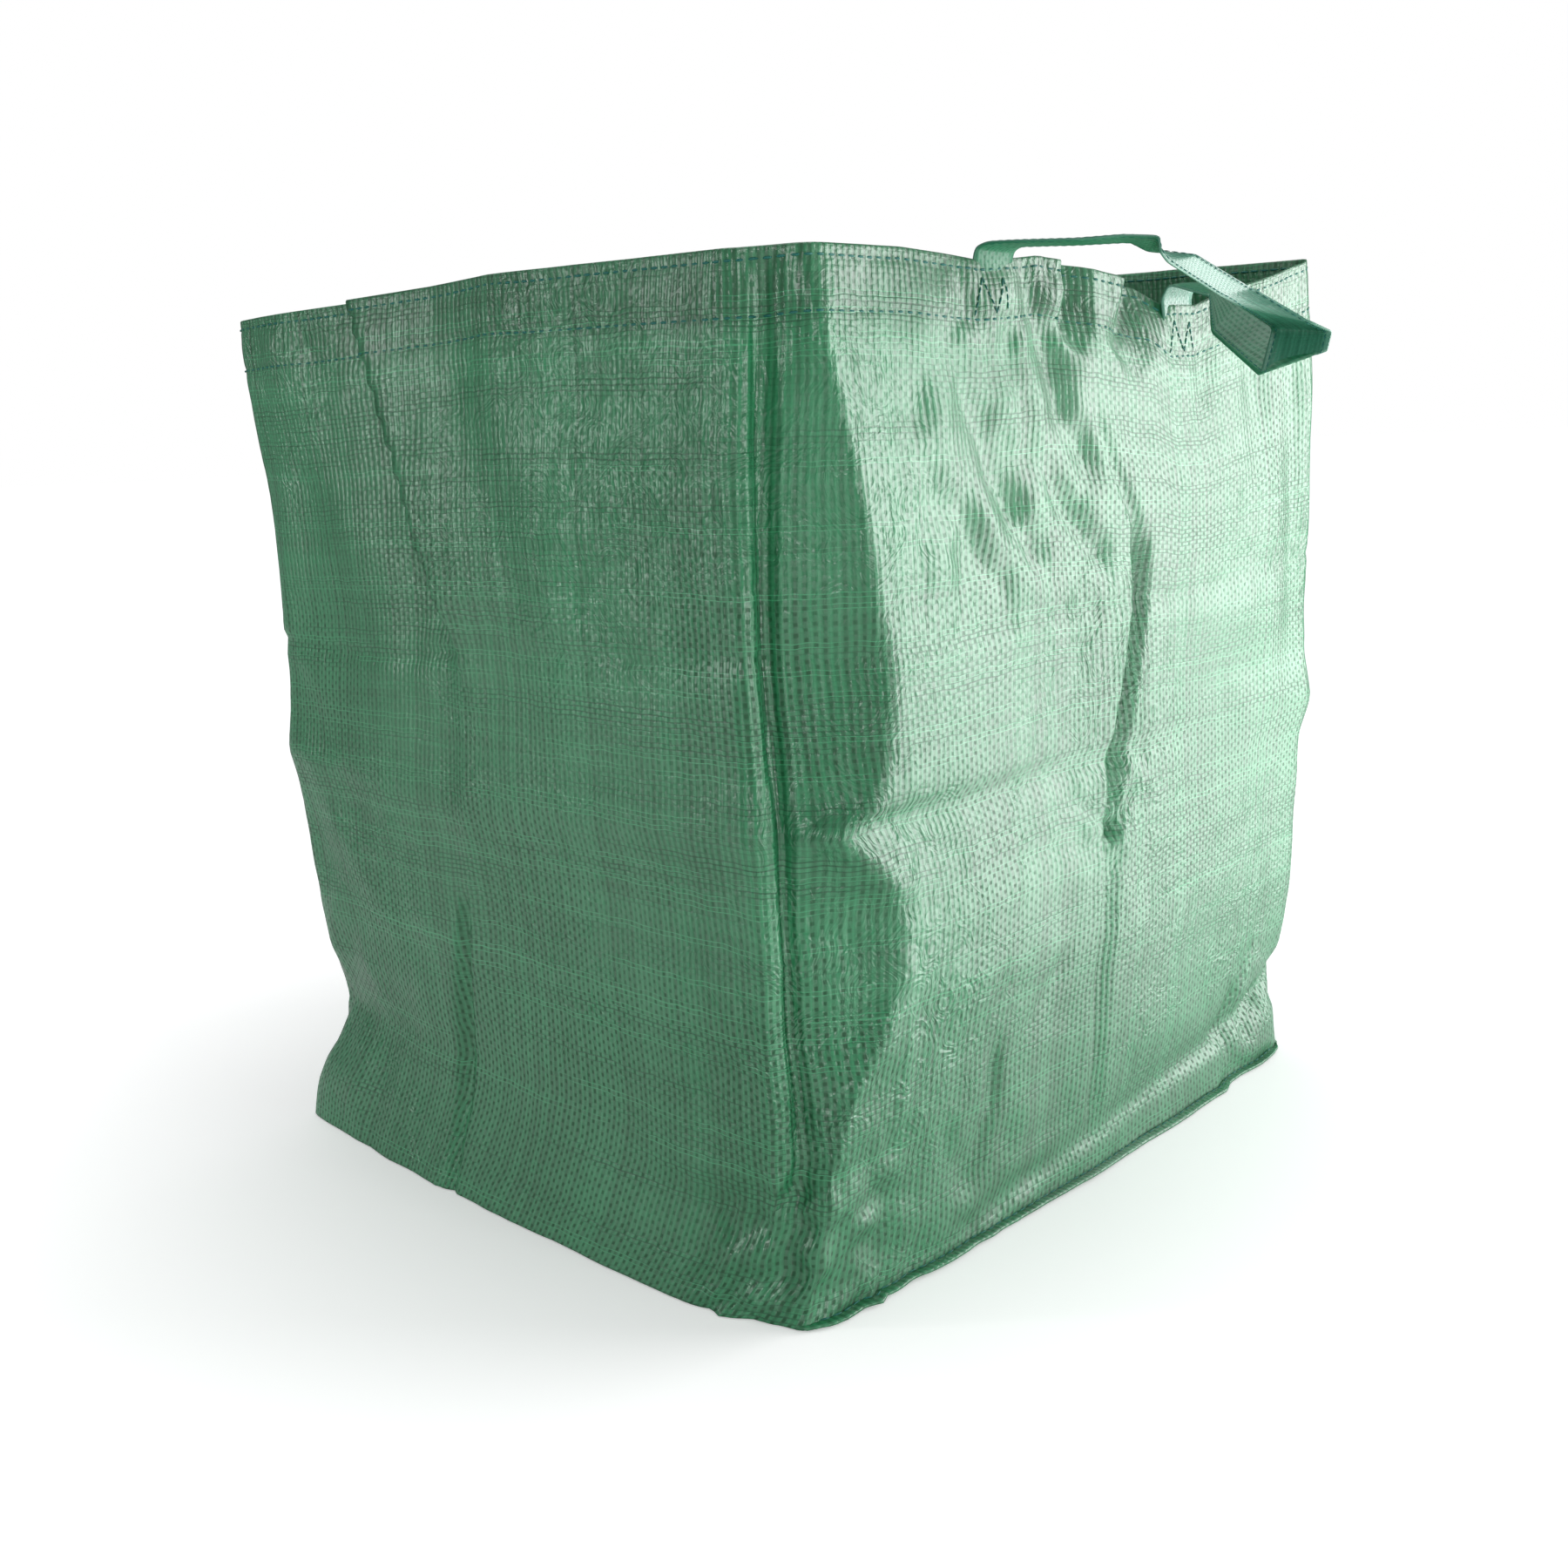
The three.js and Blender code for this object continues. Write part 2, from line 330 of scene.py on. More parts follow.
LEFT_FOLDS = [
    # a flap of cloth lies over the far part, down a slanting edge
    ([(116, 620, 7), (112, 593, 8), (70, 492, 9), (32, 400, 8), (21, 374, 1)], (75, 6)),
    ([(122, 620, -6), (118, 593, -8), (76, 492, -9), (38, 400, -9), (26, 372, -3)], (6, 80)),
    ([(22, 372, 2), (24, 270, 3), (30, 215, 1)], (26, 14)),
    # the pinched fold at its foot
    ([(34, 212, 0), (36, 197, -5), (38, 170, -7), (45, 100, -7), (50, 40, -5), (51, 0, -3)], (5, 8)),
    ([(52, 200, 0), (54, 170, 2), (60, 100, 3), (66, 20, 2)], (10, 60)),
    ([(260, 370, -2), (100, 366, -2), (26, 372, -2.4)], (8, 4)),
    ([(16, 374, -1), (-100, 374, -1.8), (-240, 384, -1.4)], (6, 5)),
    ([(260, 288, 3), (30, 268, 2), (-230, 286, 2.2)], (24, 30)),
    ([(260, 98, -8), (160, 92, -4), (80, 105, 0)], (50, 40)),
    ([(255, 330, 0), (190, 235, 4), (110, 150, 3), (70, 110, 0)], (30, 40)),
    ([(250, 20, 0), (190, 60, 3), (110, 110, 0)], (30, 30)),
    ([(20, 150, 0), (-40, 85, 3), (-120, 30, 4), (-180, 5, 3)], (60, 50)),
    ([(-130, 62, 0), (-190, 60, -3), (-236, 66, -5)], (30, 20)),
    ([(215, 600, 0), (222, 480, 3), (232, 380, 3), (165, 280, 0)], (30, 20)),
    ([(-66, 620, 3.6), (-70, 450, 3.2), (-72, 360, 0)], (45, 45), 2),
]
RIGHT_FOLDS = [
    ([(10, 610, -6), (0, 450, -9), (-4, 290, -10), (6, 160, -6), (10, 0, -2)], (8, 22)),
    ([(-260, 392, -1.8), (0, 384, -2), (260, 390, -1.8)], (6, 8)),
    ([(-260, 284, 3.5), (0, 276, 3.5), (260, 284, 3)], (30, 36)),
    ([(-180, 620, -8), (-130, 480, -8), (-60, 340, 0)], (16, 36)),
    ([(170, 560, 0), (120, 440, -6), (70, 360, 0)], (24, 12)),
    ([(-250, 50, -7), (-100, 34, -6), (100, 36, -6), (250, 52, -7)], (16, 32)),
    ([(190, 240, 0), (130, 160, -5), (90, 50, 0)], (10, 18)),
]
BACK_FOLDS = [
    ([(20, 560, 0), (14, 470, -9), (-6, 330, -12), (-10, 200, -8), (4, 40, -3)], (20, 7)),
    ([(-290, 388, -1.6), (290, 384, -1.6)], (6, 6)),
    ([(-290, 283, 3.8), (0, 276, 3), (290, 284, 3.8)], (26, 36)),
    ([(90, 620, -6), (75, 540, -8), (30, 470, 0)], (20, 14), 1.6),
    ([(24, 548, 0), (20, 560, -8), (-4, 620, -15)], (30, 12)),
    ([(-20, 546, 0), (-30, 560, -8), (-62, 610, -16)], (36, 14)),
    ([(160, 480, 0), (120, 430, -5), (60, 400, 0)], (14, 24)),
    ([(-220, 500, 0), (-170, 430, -6), (-120, 330, 0)], (26, 14)),
    ([(-270, 56, -7), (-100, 34, -7), (110, 30, -7), (270, 50, -8)], (16, 34)),
    ([(170, 40, -3), (120, 130, -5), (80, 190, 0)], (14, 8)),
]
FOLDS = {side: [Fold(*line) for line in lines] for side, lines in (
    ("left", LEFT_FOLDS), ("front", FRONT_FOLDS), ("right", RIGHT_FOLDS), ("back", BACK_FOLDS))}

# Crumpled patches: (across, height, half width, half height, cell, amplitude, seed), in mm but for the seed.
CRUMPLES = {
    "front": [(-110, 480, 95, 95, 36, 4.2, 11), (-110, 470, 110, 110, 16, 1.4, 12),
              (-190, 50, 120, 55, 22, 3, 13), (-262, 40, 45, 60, 13, 3.4, 14),
              (235, 30, 70, 60, 26, 5, 15), (-60, 585, 100, 45, 20, 2.2, 16),
              (10, 235, 60, 45, 14, 1.8, 17), (-245, 200, 45, 130, 26, 2.2, 18)],
    "left": [(-228, 30, 40, 50, 13, 4, 21), (170, 110, 110, 130, 48, 3.4, 22),
             (-120, 480, 120, 140, 50, 2, 23)],
    "right": [(0, 440, 180, 140, 42, 4.2, 31), (-60, 60, 200, 60, 30, 4.5, 32)],
    "back": [(120, 470, 120, 110, 38, 4.2, 41), (-100, 60, 180, 60, 30, 4.5, 42)],
}
WAVES = [(0.150, 0.0030, 51), (0.075, 0.0012, 52)]  # gentle swells: cell, amplitude, seed
FACETS = [(0.085, 0.0016, 53), (0.034, 0.0007, 54), (0.015, 0.00030, 55)]
WAVES_FROM = 0.03  # the swells fade in up to this height
CORNER_FADE = 0.035  # how far a side's folds run on past its ends as they fade


def fold_depth(around, height, place):
    """How far the cloth stands out of or into its plain shape."""
    depth = np.zeros(height.shape)
    rise = np.clip(height / WAVES_FROM, 0, 1)
    for cell, amount, seed in WAVES:
        depth += amount * smooth_noise(around, height, cell, seed) * rise
    for cell, amount, seed in FACETS:
        depth += amount * facet_noise(around, height, cell, seed)
    for side, length in LENGTHS.items():
        s = wrap(around) - STARTS[side]
        inside = (s > -CORNER_FADE) & (s < length + CORNER_FADE)
        across = place[:, 0] if side in ("front", "back") else place[:, 1]
        beyond = np.minimum(s + CORNER_FADE, length + CORNER_FADE - s)
        fade = np.clip(beyond / CORNER_FADE, 0, 1) * inside
        for fold in FOLDS[side]:
            depth += fade * fold.depth(across, height)
        for *lengths, seed in CRUMPLES[side]:
            middle, level, half, tall, cell, amount = metres(lengths)
            patch = swell(across, middle, half) * swell(height, level, tall)
            depth += fade * patch * amount * facet_noise(around, height, cell, seed)
    return depth


PINCH_DEPTH, PINCH_HALF, PINCH_PITCH = 0.0008, 0.0024, 0.0074  # at the hem's rows of stitches
PUFF_DEPTH, PUFF_DROP, PUFF_HALF, PUFF_CELL, PUFF_SEED = 0.0009, 0.020, 0.014, 0.012, 61  # between them


def hem_pucker(around, height):
    """The rows of stitches draw the hem in, a little more at each stitch."""
    drop = HEIGHT - height
    pinch = sum(swell(drop, row, PINCH_HALF, 2) for row in (UPPER_ROW, LOWER_ROW))
    pull = 0.75 + 0.25 * np.sin(2 * math.pi * around / PINCH_PITCH)
    ripple = smooth_noise(around, height / 4, PUFF_CELL, PUFF_SEED)
    return -PINCH_DEPTH * pinch * pull + PUFF_DEPTH * swell(drop, PUFF_DROP, PUFF_HALF, 2) * ripple


TANGENT_STEP = 0.0015


def outside(around, height):
    """The outer face of the wall: places for arrays of distance round the bag and height."""
    around, height = np.broadcast_arrays(np.asarray(around, float), np.asarray(height, float))
    shape = around.shape
    flat_s, flat_h = around.ravel(), height.ravel()
    place = np.zeros((flat_s.size, 3))
    tangent = np.zeros((flat_s.size, 2))
    for h in np.unique(flat_h):
        row = flat_h == h
        s = flat_s[row]
        level = float(np.clip(h, 0, HEIGHT))
        place[row, :2] = smooth_row(s, level)
        tangent[row] = smooth_row(s + TANGENT_STEP, level) - smooth_row(s - TANGENT_STEP, level)
    tangent = unit(tangent)
    outward = np.stack([tangent[:, 1], -tangent[:, 0]], -1)
    depth = fold_depth(flat_s, flat_h, place[:, :2]) + hem_pucker(flat_s, flat_h)
    place[:, :2] += outward * depth[:, None]
    lift = np.interp(wrap(flat_s), *metres(RIM_LIFT).T)
    share = np.clip((flat_h - LIFT_FROM) / (HEIGHT - LIFT_FROM), 0, 1)
    place[:, 2] = np.maximum(flat_h + lift * ease(share), FLOOR_GAP)
    return place.reshape(shape + (3,)), outward.reshape(shape + (2,))


def on_wall(around, height, lift=0.0):
    """Points on the wall's outer face, lifted off it, with the directions that they face."""
    place, outward = outside(around, height)
    normal = np.concatenate([outward, np.zeros(outward.shape[:-1] + (1,))], -1)
    return place + normal * lift, normal


# ---- meshes

def mesh_object(name, places, faces, materials, uvs=None):
    mesh = bpy.data.meshes.new(name)
    mesh.from_pydata([tuple(map(float, p)) for p in places], [], [tuple(map(int, f)) for f in faces])
    if uvs is not None:
        layer = mesh.uv_layers.new(name="cloth")
        layer.data.foreach_set("uv", np.asarray(uvs, float).ravel())
    mesh.polygons.foreach_set("use_smooth", [True] * len(mesh.polygons))
    for material in materials:
        mesh.materials.append(material)
    thing = bpy.data.objects.new(name, mesh)
    bpy.context.collection.objects.link(thing)
    return thing


def grid_faces(columns, rows, closed=False):
    """Faces of a grid of points, and the column and row of each of their corners."""
    faces, corners = [], []
    last = columns if closed else columns - 1
    for j in range(last):
        k = (j + 1) % columns
        for i in range(rows - 1):
            faces.append((j * rows + i, k * rows + i, k * rows + i + 1, j * rows + i + 1))
            corners.append(((j, i), (j + 1, i), (j + 1, i + 1), (j, i + 1)))
    return faces, corners


def thicken(thing, thickness, offset=-1.0, inner=0):
    """Gives a sheet thickness, with its material number inner on the side away from its faces."""
    change = thing.modifiers.new("thickness", "SOLIDIFY")
    change.thickness = thickness
    change.offset = offset
    change.material_offset = inner
    change.material_offset_rim = 0


COLUMN_SPACING, HIDDEN_SPACING = 0.0066, 0.0092  # on the sides in view, and on the two others
# Where columns are closer: (middle, half width, how much closer), round the bag.
CLOSER_COLUMNS = [(0.545, 0.050, 0.0038), (0.650, 0.055, 0.0016), (0.840, 0.055, 0.0038),
                  (0.225, 0.020, 0.0034)]
LAST_COLUMN_GAP = 0.004  # no column starts closer than this to the first one


def column_spacing(s):
    spacing = COLUMN_SPACING if s < STARTS["right"] else HIDDEN_SPACING
    for middle, half, less in CLOSER_COLUMNS:
        spacing -= less * swell(s, middle, half)
    return spacing


def column_places():
    """Distances round the bag, closer together where the folds are sharp."""
    s, places = 0.0, []
    while s < PERIMETER - LAST_COLUMN_GAP:
        places.append(s)
        s += column_spacing(s)
    places = np.array(places)
    return places * PERIMETER / (places[-1] + column_spacing(places[-1]))


RIM_BEND = 0.0012  # the bend over the rim starts this far below it
# Rows up the wall: the height from which each spacing holds, closer at the foot and the hem.
ROW_SPACINGS = {0.0: 0.0030, 0.012: 0.0048, 0.110: 0.0062, HEIGHT - 0.060: 0.0030}
# Rows over the rim: how far below it, how far in as a share of the hem's gap, and how far raised.
RIM_ROWS = np.array([(0.0004, 0.05, 0.0), (0.0, 0.3, 0.0006), (0.0, 0.7, 0.0006), (0.0004, 0.95, 0.0)])
RIM_CLOTH = 0.004  # cloth in the bend over the rim
HEM_ROW, HEM_END = 0.0036, 0.0005  # spacing of the hem's rows, and how far past its depth they go


def along_tapes(place, around):
    """Distance round the bag along the cloth, so that a steep fold takes up its own share of tapes."""
    step = np.linalg.norm(np.roll(place, -1, axis=0) - place, axis=2)
    run = np.concatenate([np.zeros((1, place.shape[1])), np.cumsum(step, axis=0)])
    marks = np.append(around, PERIMETER)
    slack = run - marks[:, None]
    give = np.linspace(-CLOTH_GIVE, CLOTH_GIVE, GIVE_SAMPLES)
    for row in range(place.shape[1]):
        spread = [np.interp(marks + shift, marks, slack[:, row]) for shift in give]
        slack[:, row] -= np.mean(spread, axis=0)
    return marks[:, None] + slack


def bag_body(cloth, lining):
    """Wall and turned-in hem as one cloth: up the outside, over the rim and down inside."""
    around = column_places()
    tops = [*ROW_SPACINGS][1:] + [HEIGHT - RIM_BEND]
    up = np.concatenate([np.arange(*zone) for zone in zip(ROW_SPACINGS, tops, ROW_SPACINGS.values())])
    down = np.arange(HEIGHT - RIM_BEND, HEIGHT - HEM - HEM_END, -HEM_ROW)
    height = np.concatenate([up, HEIGHT - RIM_ROWS[:, 0], down])
    inset = np.concatenate([np.zeros(len(up)), RIM_ROWS[:, 1] * HEM_GAP, np.full(len(down), HEM_GAP)])
    place, outward = outside(around[:, None], height[None, :])
    place[..., :2] -= outward * inset[None, :, None]
    hem_start = len(up) + len(RIM_ROWS)
    place[:, len(up):hem_start, 2] += RIM_ROWS[:, 2]
    faces, corners = grid_faces(len(around), len(height), closed=True)
    tapes = along_tapes(place, around)
    rim_marks = HEIGHT + RIM_BEND * np.arange(1, len(RIM_ROWS) + 1)
    v_marks = np.concatenate([up, rim_marks, 2 * HEIGHT + RIM_CLOTH - down])
    uvs = [(tapes[j, i], v_marks[i]) for face in corners for j, i in face]
    body = mesh_object("bag_body", place.reshape(-1, 3), faces, [cloth, lining], uvs)
    thicken(body, SHEET, inner=1)
    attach(body, "bag")
    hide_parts("front_wall", "right_wall", "back_wall", "left_wall",
                "front_rim_hem", "right_rim_hem", "back_rim_hem", "left_rim_hem")


BASE_TURNS, BASE_RINGS = 420, 26
BASE_LEVEL, BASE_LOWEST, BASE_MIDDLE = 0.0022, 0.0011, 0.003  # heights of the panel's upper face
BASE_INSET = 0.0005  # from the wall's outer face to the panel's edge
BASE_CRUMPLE, BASE_CELL, BASE_SEED = 0.0016, 0.060, 71
BASE_RIDGE, BASE_RIDGE_HALF = 0.0022, 0.006  # a crease across the middle


def base_sheet(cloth):
    """The bottom panel, which lies on the floor and follows the foot of the wall."""
    around = np.linspace(0, PERIMETER, BASE_TURNS, endpoint=False)
    foot, outward = outside(around, np.full(BASE_TURNS, BASE_LEVEL))
    edge = foot[:, :2] - outward * BASE_INSET
    places = []
    for ring in range(BASE_RINGS):
        share = 1 - ring / BASE_RINGS
        x, y = (edge * share).T
        crumple = BASE_CRUMPLE * facet_noise(x + 2, y + 2, BASE_CELL, BASE_SEED) * min(1, 4 * (1 - share))
        ridge = BASE_RIDGE * np.exp(-np.abs(x) / BASE_RIDGE_HALF) * min(1, 3 * (1 - share))
        places += list(zip(x, y, np.maximum(BASE_LOWEST, BASE_LEVEL + crumple + ridge)))
    last = len(places) - BASE_TURNS
    places.append((0, 0, BASE_MIDDLE))
    follow = [(j, (j + 1) % BASE_TURNS) for j in range(BASE_TURNS)]
    faces = [(a + j, a + k, a + BASE_TURNS + k, a + BASE_TURNS + j)
             for a in range(0, last, BASE_TURNS) for j, k in follow]
    faces += [(last + j, last + k, last + BASE_TURNS) for j, k in follow]
    uvs = [(places[i][0] + 1, places[i][1] + 1) for face in faces for i in face]
    sheet = mesh_object("base_sheet", places, faces, [cloth], uvs)
    thicken(sheet, SHEET)
    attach(sheet, "bag")
    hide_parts("base_panel")


# ---- stitches

TUBE_SIDES = 6
TUBE_TAPER = 0.45  # the size of a stitch's two ends, as a share of its middle
STITCH_LIFT = 0.0003  # how far a stitch's middle line is off the cloth


def tube(points, normals, width, height):
    """A short flattened thread along points; ends closed."""
    along = unit(np.gradient(points, axis=0))
    across = unit(np.cross(along, normals))
    up = np.cross(across, along)
    turn = np.linspace(0, 2 * math.pi, TUBE_SIDES, endpoint=False)
    ends = np.ones((len(points), 1, 1))
    ends[0] = ends[-1] = TUBE_TAPER
    rings = (points[:, None] + across[:, None] * (np.cos(turn) * width / 2)[None, :, None] * ends
             + up[:, None] * (np.sin(turn) * height / 2)[None, :, None] * ends)
    faces = []
    for start in range(0, (len(points) - 1) * TUBE_SIDES, TUBE_SIDES):
        for k in range(TUBE_SIDES):
            m = (k + 1) % TUBE_SIDES
            faces.append((start + k, start + TUBE_SIDES + k, start + TUBE_SIDES + m, start + m))
    faces.append(tuple(range(TUBE_SIDES)))
    faces.append(tuple((len(points) - 1) * TUBE_SIDES + k for k in reversed(range(TUBE_SIDES))))
    return rings.reshape(-1, 3), faces


def thread_object(name, runs, material, width=0.0014, height=0.0008):
    """Many short stitches in one mesh. runs holds (points, normals) pairs."""
    places, faces = [], []
    for points, normals in runs:
        ring, quads = tube(points, normals, width, height)
        faces += [tuple(i + len(places) for i in quad) for quad in quads]
        places += list(ring)
    piece = mesh_object(name, places, faces, [material])
    return piece


def bag_thread(name, *args):
    """Stitches that ride on the bag and stand for the CAD node of the same name."""
    piece = thread_object(name, *args)
    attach(piece, "bag")
    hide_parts(name)


def stitches_along(line, stitch, gap, points, skip):
    """The lengths along a line of the points of each stitch, but for the first and last few stitches."""
    count = int(lengths_along(line)[-1] / (stitch + gap))
    return [i * (stitch + gap) + np.linspace(0, stitch, points) for i in range(skip, count - skip)]


HEM_STITCH, HEM_STITCH_GAP = 0.0062, 0.0018
HEM_WANDER = (0.0006, 0.05, 81)  # amplitude, cell, seed
HEM_STITCH_LIFT = 0.00012
HEM_STITCH_ARCH = np.array([-0.0004, 0.0001, 0.0001, -0.0004])  # the points of a stitch, off the cloth


def stitch_row(name, drop, thread):
    """One row of stitches round the hem, on its outside and its inside."""
    count = round(PERIMETER / (HEM_STITCH + HEM_STITCH_GAP))
    pitch = PERIMETER / count
    points = len(HEM_STITCH_ARCH)
    share = np.linspace(0, 1, points)
    s = ((np.arange(count) * pitch)[:, None] + share[None, :] * (pitch - HEM_STITCH_GAP)).ravel()
    outer, normal = on_wall(s, np.full(s.size, HEIGHT - drop), HEM_STITCH_LIFT)
    outer[:, 2] += wander(s, *HEM_WANDER)
    rise = np.tile(HEM_STITCH_ARCH, count)[:, None]
    outer += normal * rise
    inner = outer - normal * (HEM_GAP + SHEET + STITCH_LIFT + 2 * rise)
    runs = []
    for first in range(0, s.size, points):
        part = slice(first, first + points)
        runs += [(outer[part], normal[part]), (inner[part], -normal[part])]
    bag_thread(name, runs, thread)


# The middle of each end of a handle: its side and its x.
HANDLE_ENDS = {
    "front_left": ("front", -0.113), "front_right": ("front", 0.104),
    "back_left": ("back", 0.104), "back_right": ("back", -0.104),
}
RIM_SPANS = {"front": (0.56, 1.10), "back": (1.66, 2.20)}  # the straight part of the rim, round the bag
RIM_SAMPLES, RIM_DROP = 400, 0.02
TACK_STITCH, TACK_GAP, TACK_POINTS = 0.0036, 0.0012, 3
# The zigzag of a tack: across from its middle, and below the rim.
TACK_CORNERS = [(-0.016, 0.0315), (-0.009, 0.0095), (0.003, 0.0305), (0.011, 0.0105), (0.016, 0.0295)]


def around_at(side, x):
    """Distance round the bag at which the front or back wall near the rim has this x."""
    s = np.linspace(*RIM_SPANS[side], RIM_SAMPLES)
    place, _ = outside(s, np.full(RIM_SAMPLES, HEIGHT - RIM_DROP))
    turn = 1 if side == "front" else -1
    return float(np.interp(turn * x, turn * place[:, 0], s))


def handle_tack(end, thread):
    """The zigzag of stitches that holds one end of a handle in the hem."""
    middle = around_at(*HANDLE_ENDS[end])
    corners = np.array([(middle + across, HEIGHT - drop) for across, drop in TACK_CORNERS])
    runs = []
    for a, b in zip(corners[:-1], corners[1:]):
        length = np.linalg.norm(b - a)
        count = max(1, round(length / (TACK_STITCH + TACK_GAP)))
        for i in range(count):
            t = np.linspace(i / count, (i + 1) / count - TACK_GAP / length, TACK_POINTS)
            line = a + (b - a) * t[:, None]
            runs.append(on_wall(line[:, 0], line[:, 1], STITCH_LIFT))
    bag_thread(f"{end}_handle_tack", runs, thread)


# ---- handles

STRAP_WIDTH = 0.037
STRAP_THICK = 0.0011
HINGE_REACH, HINGE_HEIGHT = 0.2589, 0.604
# Cross lines of the strap: (along the rim, reach out, height above the hinge) of both edges, in mm.
STRAP_LINES = [
    ((-122.5, 6, -38), (-85.5, 5, -38)),
    ((-122.5, 1.5, -12), (-85.5, 1.5, -12)),
    ((-123, 4, -5), (-86, 4, -5)),
    ((-123, 12, -3), (-87, 10, -3)),
    ((-120, 30, -4), (-85, 24, -4)),
    ((-110, 63, -6), (-77, 43, -5)),
    ((-93, 82, -5), (-60, 66, -5)),
    ((-86, 100, -7), (-58, 76, -11)),
    ((-92, 104, -16), (-57, 94, -14)),
    ((-84, 104, -21), (-48, 101, -15)),
    ((-23, 102, -36), (14, 103, -31)),
    ((15, 101, -44), (36, 131, -52)),
    ((48, 99, -52), (50, 136, -57)),
    ((29, 101, -81), (44, 136, -69)),
    ((48, 58, -52), (80, 63, -32)),
    ((95, 30, -26), (127, 14, -14)),
    ((85, 6, -17), (121, 5, -15)),
    ((85.5, 0, -26), (122.5, 1, -24)),
    ((85.5, 4, -54), (122.5, 3, -54)),
]
STRAP_STEP = 0.0025  # between the rows of the strap's mesh
STRAP_CUTS = 9  # points across it
STRAP_CURL = 0.0008  # how far its middle stands off the line between its edges
STRAP_SOFTNESS, STRAP_REACH = 1.1, 5  # how softly it bends, and how far that is felt, in rows
STRAP_STITCH, STRAP_STITCH_GAP, STRAP_STITCH_INSET, STRAP_STITCH_LIFT = 0.0036, 0.0014, 0.0032, 0.0002
STRAP_THREAD = (0.0009, 0.0006)  # width and height
STRAP_BARE_STITCHES = 8  # left out at each end, inside the hem


def strap_place(point, back):
    x, reach, up = metres(point)
    y = -HINGE_REACH - reach
    return (-x, -y, HINGE_HEIGHT + up) if back else (x, y, HINGE_HEIGHT + up)


def strap_edges(back):
    """The strap's two edges, with its folds a little softened."""
    both = np.array([strap_place(a, back) + strap_place(b, back) for a, b in STRAP_LINES])
    run = lengths_along(both)
    fine = points_at(np.linspace(0, run[-1], int(run[-1] / STRAP_STEP)), run, both)
    kernel = np.exp(-0.5 * (np.arange(-STRAP_REACH, STRAP_REACH + 1) / STRAP_SOFTNESS) ** 2)
    kernel /= kernel.sum()
    padded = np.pad(fine, ((STRAP_REACH, STRAP_REACH), (0, 0)), "edge")
    soft = np.stack([np.convolve(column, kernel, "valid") for column in padded.T], -1)
    return soft[:, :3], soft[:, 3:]


def strap_frames(back):
    left, right = strap_edges(back)
    along = unit(np.gradient((left + right) / 2, axis=0))
    return left, right, unit(np.cross(unit(right - left), along))


def blend_strap(piece):
    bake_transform(piece)


def handle_strap(side, back, outer, inner):
    left, right, normal = strap_frames(back)
    share = np.linspace(0, 1, STRAP_CUTS)[None, :, None]
    places = (left[:, None] * (1 - share) + right[:, None] * share
              + normal[:, None] * STRAP_CURL * arch(share))
    run = lengths_along((left + right) / 2)
    faces, corners = grid_faces(len(left), STRAP_CUTS)
    uvs = [(share[0, i, 0] * STRAP_WIDTH + 3.0, run[j] + 3.0) for face in corners for j, i in face]
    strap = mesh_object(f"{side}_handle", places.reshape(-1, 3), faces, [outer, inner], uvs)
    thicken(strap, STRAP_THICK, offset=0.0, inner=1)
    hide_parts(f"{side}_handle_strap", f"{side}_left_handle_end", f"{side}_right_handle_end")
    blend_strap(strap)


def strap_stitches(side, back, thread):
    """Two rows of stitches along the strap's edges, on both its faces."""
    left, right, normal = strap_frames(back)
    inset = STRAP_STITCH_INSET / STRAP_WIDTH
    lift = STRAP_THICK / 2 + STRAP_STITCH_LIFT
    runs = []
    for share in (inset, 1 - inset):
        line = left * (1 - share) + right * share
        run = lengths_along(line)
        for at in stitches_along(line, STRAP_STITCH, STRAP_STITCH_GAP, points=3, skip=STRAP_BARE_STITCHES):
            place = points_at(at, run, line)
            facing = unit(points_at(at, run, normal))
            runs += [(place + face * facing * lift, face * facing) for face in (1, -1)]
    blend_strap(thread_object(f"{side}_handle_edge_stitches", runs, thread, *STRAP_THREAD))


# ---- bottom seams

# Where each seam runs, round the bag.
SEAMS = {
    "front": (STARTS["front"] + 0.030, STARTS["right"] - 0.012),
    "back": (STARTS["back"] + 0.012, PERIMETER - 0.012),
}
SEAM_COLUMNS, SEAM_FOOT = 150, 0.004  # the height of the wall that the lip follows
SEAM_FADE = 0.02  # it runs out over this length at its ends
SEAM_REACH, SEAM_REACH_WANDER = 0.0075, (0.0015, 0.03, 91)  # how far it sticks out
SEAM_ROOT, SEAM_LIFT, SEAM_LIFT_WANDER = 0.0034, 0.0002, (0.0010, 0.045, 92)  # height, and rise of edge
SEAM_PROFILE = [(-0.0004, 0.0), (0.25, 0.35), (0.6, 0.8), (1.0, 1.0)]  # shares of reach and of lift
SEAM_THICK, SEAM_UV_WIDTH = 0.0016, 0.008
SEAM_STITCH, SEAM_STITCH_GAP, SEAM_STITCH_SHARE, SEAM_STITCH_RISE = 0.0062, 0.0022, 0.45, 0.0019
SEAM_THREAD = (0.0011, 0.0008)  # width and height


